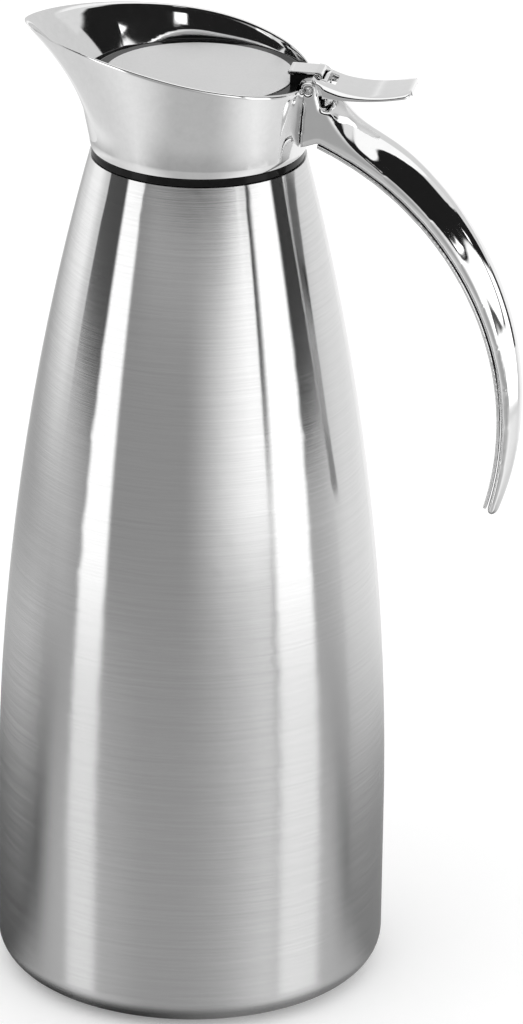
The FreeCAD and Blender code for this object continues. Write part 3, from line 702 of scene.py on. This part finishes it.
def buildLever(s):
    reach = s["topArc"][2][0]
    straight = reach - s["tipCorner"]
    rows = list(s["rows"])
    plain = straight - rows[-1]
    rows += [s["rows"][-1] + plain * (i + 1) / s["plainRows"] for i in range(s["plainRows"])]
    turns = [math.pi / 2 * (i + 1) / s["tipRows"] for i in range(s["tipRows"])]
    rows += [straight + s["tipCorner"] * math.sin(turn) for turn in turns]
    skirt, corner = s["skirtSteps"], s["cornerSteps"]
    columns = 2 * (skirt + corner) + s["topSteps"]

    def place(row, column):
        x = rows[row]
        top, low = lowArc(s["topArc"], x), leverSkirt(s, x)
        over = max(0.0, x - straight)
        half = s["halfWidth"] - s["tipCorner"] + math.sqrt(max(0.0, s["tipCorner"] ** 2 - over ** 2))
        short = max(0.0, rows[0] + s["heelCorner"] - x)
        half -= s["heelCorner"] - math.sqrt(s["heelCorner"] ** 2 - short ** 2)
        curl = min(s["cornerRound"], (top - low) * s["curlShare"])
        side = -1 if column < columns / 2 else 1
        step = column if side < 0 else columns - column
        if step <= skirt:
            y, z = half, low + (top - curl - low) * step / skirt
        elif step <= skirt + corner:
            turn = math.pi / 2 * (step - skirt) / corner
            y, z = half - curl * (1 - math.cos(turn)), top - curl * (1 - math.sin(turn))
        else:
            share = abs(2 * (column - skirt - corner) / s["topSteps"] - 1)
            edge = half - curl - s["slotHalf"]
            y = 2 * share * s["slotHalf"] if share <= 0.5 else s["slotHalf"] + edge * (2 * share - 1)
            z = top
        return Vector((pinPlace[0] + x, side * y, pinPlace[1] + z))

    def slot(centre):
        return abs(centre.y) < s["slotHalf"] and centre.x < pinPlace[0] + s["slotEnd"]

    lever = bendSheet(len(rows) - 1, columns, place, slot, s["thickness"], s["softEdge"])
    earLine = []
    for i in range(s["earSteps"]):
        turn = math.pi / 2 + math.pi * i / (s["earSteps"] - 1)
        earLine.append((s["earRadius"] * math.cos(turn), s["earRadius"] * math.sin(turn)))
    earLine += [(s["bar"][1], s["heelLine"][-1][1]), (s["bar"][1], s["bar"][2]), s["earTop"]]
    earLine = [(pinPlace[0] + x, pinPlace[1] + z) for x, z in earLine]
    low, high = s["ear"]
    ears = [solidOutline(earLine, *ends, s["earSoft"]) for ends in ((low, high), (-high, -low))]
    left, right, top = s["bar"]
    barLine = [(left, 0), (right, 0), (right, top), (left, top)]
    barLine = [(pinPlace[0] + x, pinPlace[1] + z) for x, z in barLine]
    bar = solidOutline(barLine, -s["barHalf"], s["barHalf"], s["barSoft"])
    lever = joinPieces([lever, *ears, bar])
    finishPiece(lever, "pressedLever", "thumb_lever", "lever", "chromedCast")


buildLever(leverSet)


# strap: lies on the lid's knuckle and hooks down behind the lever's bar
strapSet = {                  # millimetres from the pin
    "left": -7.1, "leftFoot": 3.5, "top": 4.7, "leftBend": 0.5,
    "hookSide": 3.8, "hookBend": 1.2, "hookFoot": 1.5,
    "half": 4.3, "bendSteps": 6, "topSteps": 8, "columns": 10, "thickness": 0.8, "softEdge": 0.3,
}


def buildStrap(s):
    path = [(s["left"], s["leftFoot"])]
    for i in range(s["bendSteps"] + 1):
        turn = math.pi - math.pi / 2 * i / s["bendSteps"]
        x = s["left"] + s["leftBend"] * (1 + math.cos(turn))
        path.append((x, s["top"] - s["leftBend"] * (1 - math.sin(turn))))
    start, end = path[-1][0], s["hookSide"] - s["hookBend"]
    path += [(start + (end - start) * (i + 1) / s["topSteps"], s["top"]) for i in range(s["topSteps"] - 1)]
    for i in range(s["bendSteps"] + 1):
        turn = math.pi / 2 - math.pi / 2 * i / s["bendSteps"]
        path.append((end + s["hookBend"] * math.cos(turn), s["top"] - s["hookBend"] * (1 - math.sin(turn))))
    path.append((s["hookSide"], s["hookFoot"]))

    def place(row, column):
        x, z = path[row]
        return Vector((pinPlace[0] + x, s["half"] * (2 * column / s["columns"] - 1), pinPlace[1] + z))

    def noOpening(centre):
        return False

    strap = bendSheet(len(path) - 1, s["columns"], place, noOpening, s["thickness"], s["softEdge"])
    finishPiece(strap, "hookedStrap", "lid_strap", "lid", "mirrorSteel")


buildStrap(strapSet)


# pin: a turned rod with a dimple in each end
pinSet = {                    # millimetres
    "radius": 1.3, "half": 8.1, "sides": 48, "endFacing": 0.9,
    "ring": 0.4, "dimple": 0.5, "taper": 0.55, "softEdge": 0.12,
}


def buildPin(s):
    bpy.ops.object.select_all(action="DESELECT")
    centre = Vector((pinPlace[0], 0, pinPlace[1])) * mm
    bpy.ops.mesh.primitive_cylinder_add(
        vertices=s["sides"], radius=s["radius"] * mm, depth=2 * s["half"] * mm,
        location=centre, rotation=(math.pi / 2, 0, 0))
    pin = bpy.context.object
    bpy.ops.object.transform_apply(location=True, rotation=True, scale=True)
    for side in (-1, 1):
        for face in pin.data.polygons:
            face.select = face.normal.y * side > s["endFacing"]
        bpy.ops.object.mode_set(mode="EDIT")
        bpy.ops.mesh.select_mode(type="FACE")
        bpy.ops.mesh.inset(thickness=s["ring"] * mm)
        inward = (0, -side * s["dimple"] * mm, 0)
        bpy.ops.mesh.extrude_region_move(TRANSFORM_OT_translate={"value": inward})
        bpy.ops.transform.resize(value=(s["taper"], 1, s["taper"]))
        bpy.ops.mesh.select_all(action="DESELECT")
        bpy.ops.object.mode_set(mode="OBJECT")
    softenEdges(pin, s["softEdge"], **solidEdge)
    finishPiece(pin, "dimpledPin", "hinge_pin", "jug", "screwSteel")


buildPin(pinSet)


# copy of a CAD node's mesh, with its faces joined
def mergedCopy(node):
    bpy.ops.object.select_all(action="DESELECT")
    piece = bpy.data.objects.new(node + "Copy", nodes[node].data.copy())
    scene.collection.objects.link(piece)
    piece.select_set(True)
    bpy.context.view_layer.objects.active = piece
    bpy.ops.mesh.customdata_custom_splitnormals_clear()
    bpy.ops.object.mode_set(mode="EDIT")
    bpy.ops.mesh.select_all(action="SELECT")
    bpy.ops.mesh.remove_doubles(threshold=mergeDistance)
    bpy.ops.object.mode_set(mode="OBJECT")
    return piece


def buildSpring():
    spring = mergedCopy("return_spring")
    finishPiece(spring, "woundSpring", "return_spring", None, "springSteel")
    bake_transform(spring)


buildSpring()


# castings: the handle and the strip inside it, with their edges polished round; grain in millimetres
handleSet = {"name": "roundedHandle", "grain": 0.45, "smoothing": 0.5, "passes": 40}
stripSet = {"name": "roundedStrip", "grain": 0.3, "smoothing": 0.5, "passes": 16}


def buildCasting(node, s):
    casting = mergedCopy(node)
    applyModifier(casting, "REMESH", mode="VOXEL", voxel_size=s["grain"] * mm, use_smooth_shade=True)
    applyModifier(casting, "SMOOTH", factor=s["smoothing"], iterations=s["passes"])
    print(node, "triangles:", 2 * len(casting.data.polygons))
    finishPiece(casting, s["name"], node, "jug", "chromedCast")


buildCasting("handle", handleSet)
buildCasting("handle_strip", stripSet)
